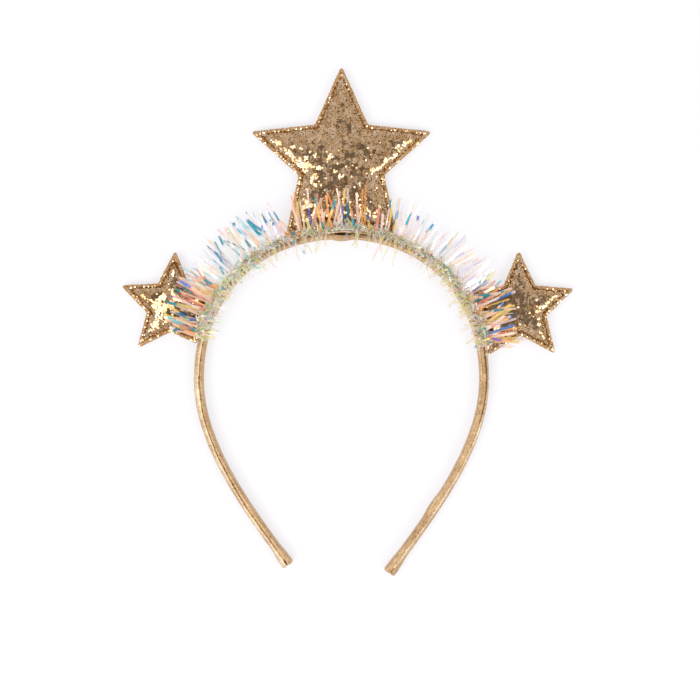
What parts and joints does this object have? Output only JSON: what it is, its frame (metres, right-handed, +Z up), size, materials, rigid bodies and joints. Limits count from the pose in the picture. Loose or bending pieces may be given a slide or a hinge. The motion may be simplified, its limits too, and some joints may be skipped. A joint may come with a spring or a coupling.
{
  "type": "headband",
  "caption": "Gold headband with padded glitter stars standing on its crown and an iridescent film tinsel garland along the front, lying on its back edge.",
  "frame": {"origin": "middle of the whole object's box, on the floor it lies on", "axes": "+Z up, out of the stars' fronts; +Y from the leg ends to the crown and the large star; +X to the right as seen from the front"},
  "size_m": [0.2022, 0.228, 0.0263],
  "materials": {
    "gold_leatherette": "metallic gold, satin",
    "gold_glitter": "glitter flakes on cloth",
    "star_backing": "matte gold cloth",
    "iridescent_film": "clear iridescent film"
  },
  "bodies": {
    "root": {"band": "gold_leatherette", "star_center_front": "gold_glitter", "star_center_back": "star_backing", "star_left_front": "gold_glitter", "star_left_back": "star_backing", "star_right_front": "gold_glitter", "star_right_back": "star_backing", "tinsel": "iridescent_film"}
  },
  "joints": []
}
